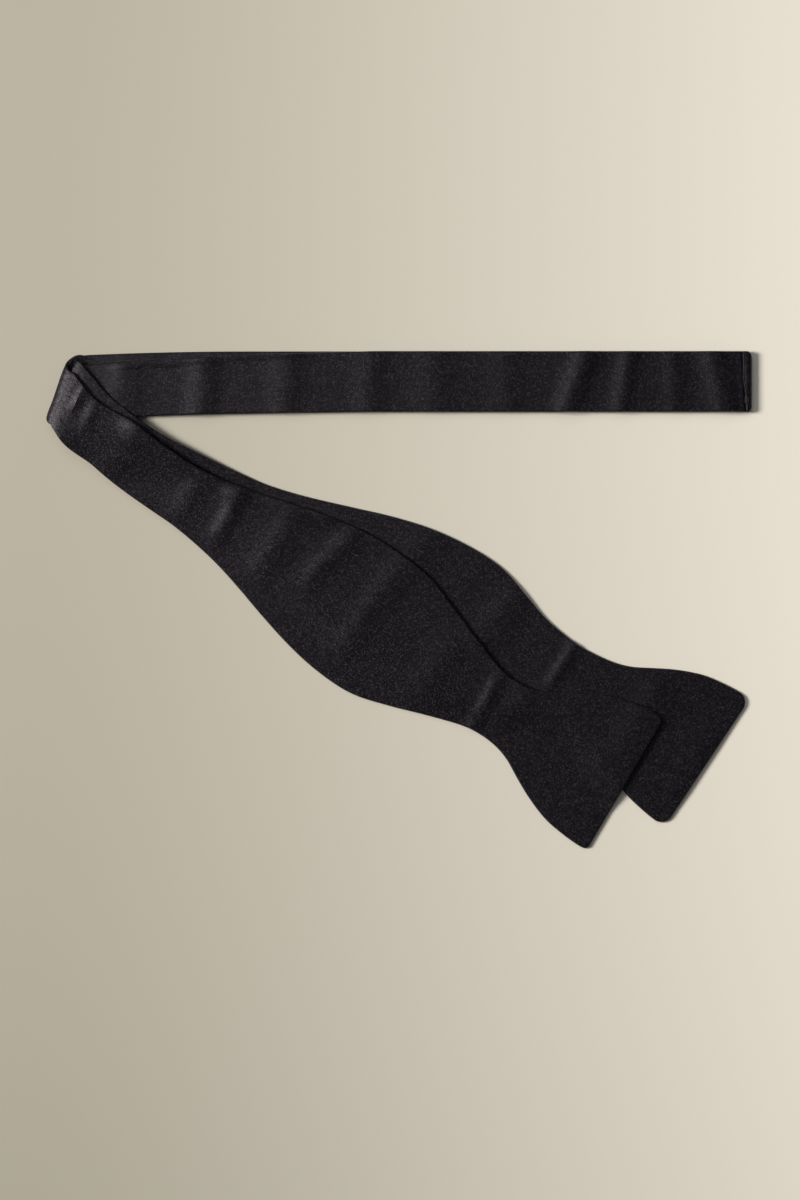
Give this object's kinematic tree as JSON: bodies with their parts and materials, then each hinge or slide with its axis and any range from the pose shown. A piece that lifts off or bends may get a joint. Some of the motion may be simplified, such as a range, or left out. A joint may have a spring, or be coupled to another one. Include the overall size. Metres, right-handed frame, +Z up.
{
  "type": "self-tie bow tie",
  "caption": "Untied black satin self-tie bow tie, folded in half at the centre back, its band turned over so that both flared blades lie beside each other on top.",
  "frame": {"origin": "middle of the laid tie's outline, on the surface that it lies on", "axes": "+X along the neck band towards the centre back, +Y across the band away from the blades, +Z up"},
  "size_m": [0.2535, 0.1785, 0.0062],
  "materials": {
    "satin": "black satin with a fine diagonal weave and a soft sheen",
    "interlining": "natural woven canvas",
    "thread": "black twisted sewing thread"
  },
  "bodies": {
    "neckband": {"outer_band_front_panel": "satin", "outer_band_interlining": "interlining", "outer_band_back_panel": "satin", "outer_band_edge_thread": "thread", "outer_fold_front_panel": "satin", "outer_fold_interlining": "interlining", "outer_fold_back_panel": "satin", "inner_band_front_panel": "satin", "inner_band_interlining": "interlining", "inner_band_back_panel": "satin", "inner_band_edge_thread": "thread", "inner_fold_front_panel": "satin", "inner_fold_interlining": "interlining", "inner_fold_back_panel": "satin", "centre_back_stitches": "thread"},
    "inner_blade": {"inner_blade_front_panel": "satin", "inner_blade_interlining": "interlining", "inner_blade_back_panel": "satin", "inner_blade_edge_thread": "thread"},
    "outer_blade": {"outer_blade_front_panel": "satin", "outer_blade_interlining": "interlining", "outer_blade_back_panel": "satin", "outer_blade_edge_thread": "thread"}
  },
  "joints": [
    {"name": "inner_unfold", "type": "hinge", "parent": "neckband", "child": "inner_blade", "pos_m": [-0.1203, 0.076, 0.0031], "axis": [-0.4226, -0.9063, 0], "range_deg": [0, 179.5], "deforming": ["inner_fold_front_panel", "inner_fold_interlining", "inner_fold_back_panel"]},
    {"name": "outer_unfold", "type": "hinge", "parent": "neckband", "child": "outer_blade", "pos_m": [-0.1203, 0.076, 0.0031], "axis": [-0.4226, -0.9063, 0], "range_deg": [0, 179.5], "deforming": ["outer_fold_front_panel", "outer_fold_interlining", "outer_fold_back_panel"]}
  ],
  "couplings": [
    {"joint": "outer_unfold", "follows": "inner_unfold", "ratio": 1}
  ]
}
